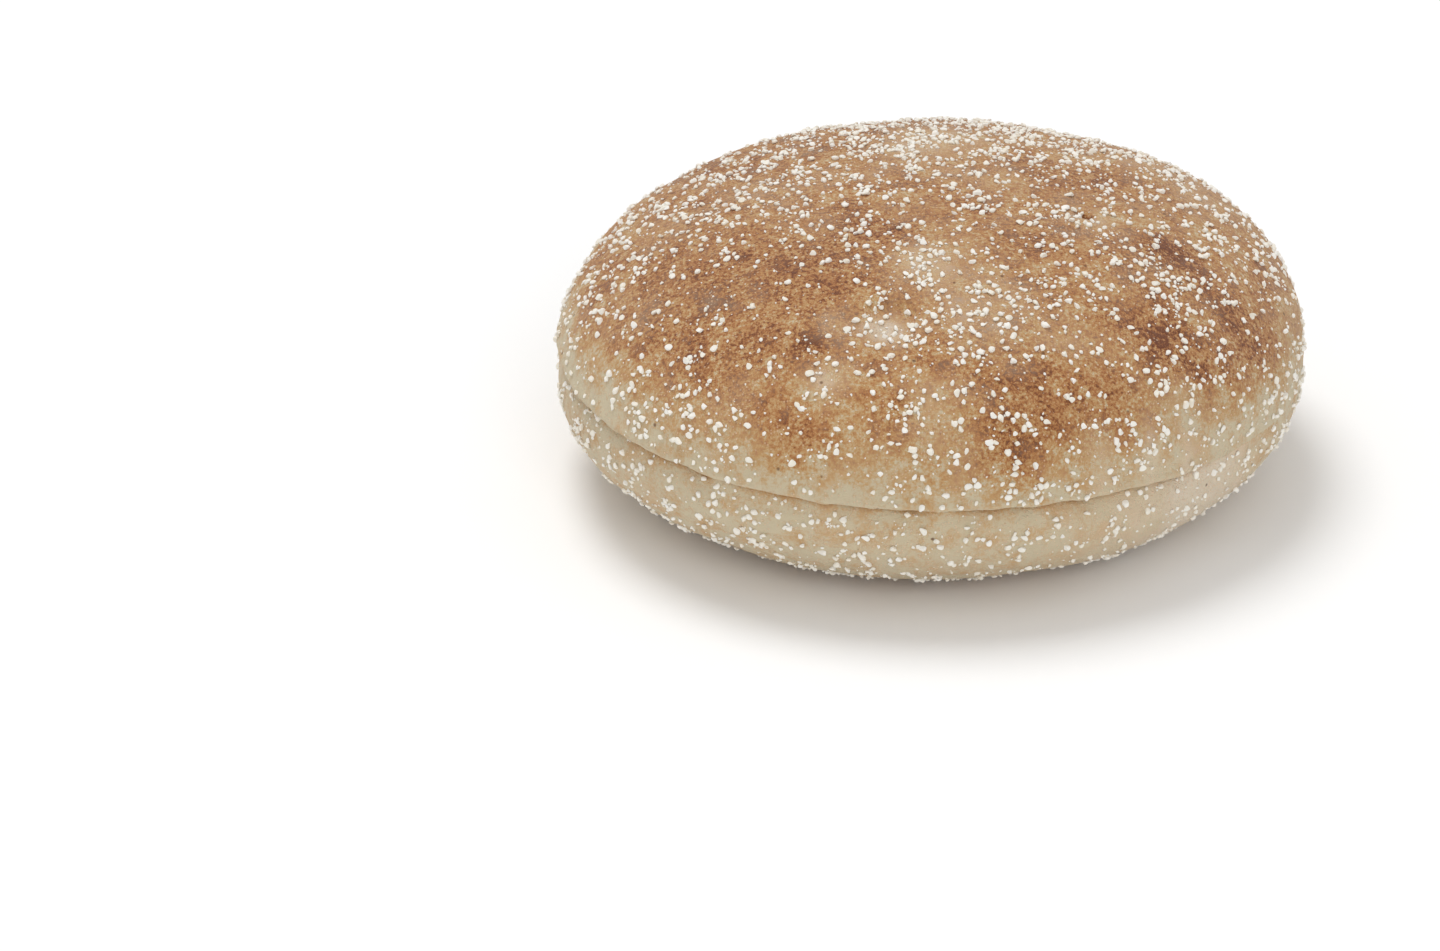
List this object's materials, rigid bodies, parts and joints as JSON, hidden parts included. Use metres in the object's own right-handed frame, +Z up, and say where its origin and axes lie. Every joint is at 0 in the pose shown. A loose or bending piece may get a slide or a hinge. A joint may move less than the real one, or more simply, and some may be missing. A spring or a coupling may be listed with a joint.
{
  "type": "burger bun",
  "caption": "Round, low-domed bread bun for a burger, with a flat base, hinge-cut from one side by a single level knife cut.",
  "frame": {"origin": "centre of the flat base that the bun rests on", "axes": "+Z up through the crown; -Y is the front; the knife entered from -X and the uncut hinge of bread is near +X"},
  "size_m": [0.116, 0.1146, 0.0474],
  "materials": {
    "crust": "matte",
    "grits": "matte"
  },
  "bodies": {
    "root": {"bread": "crust"}
  },
  "joints": []
}
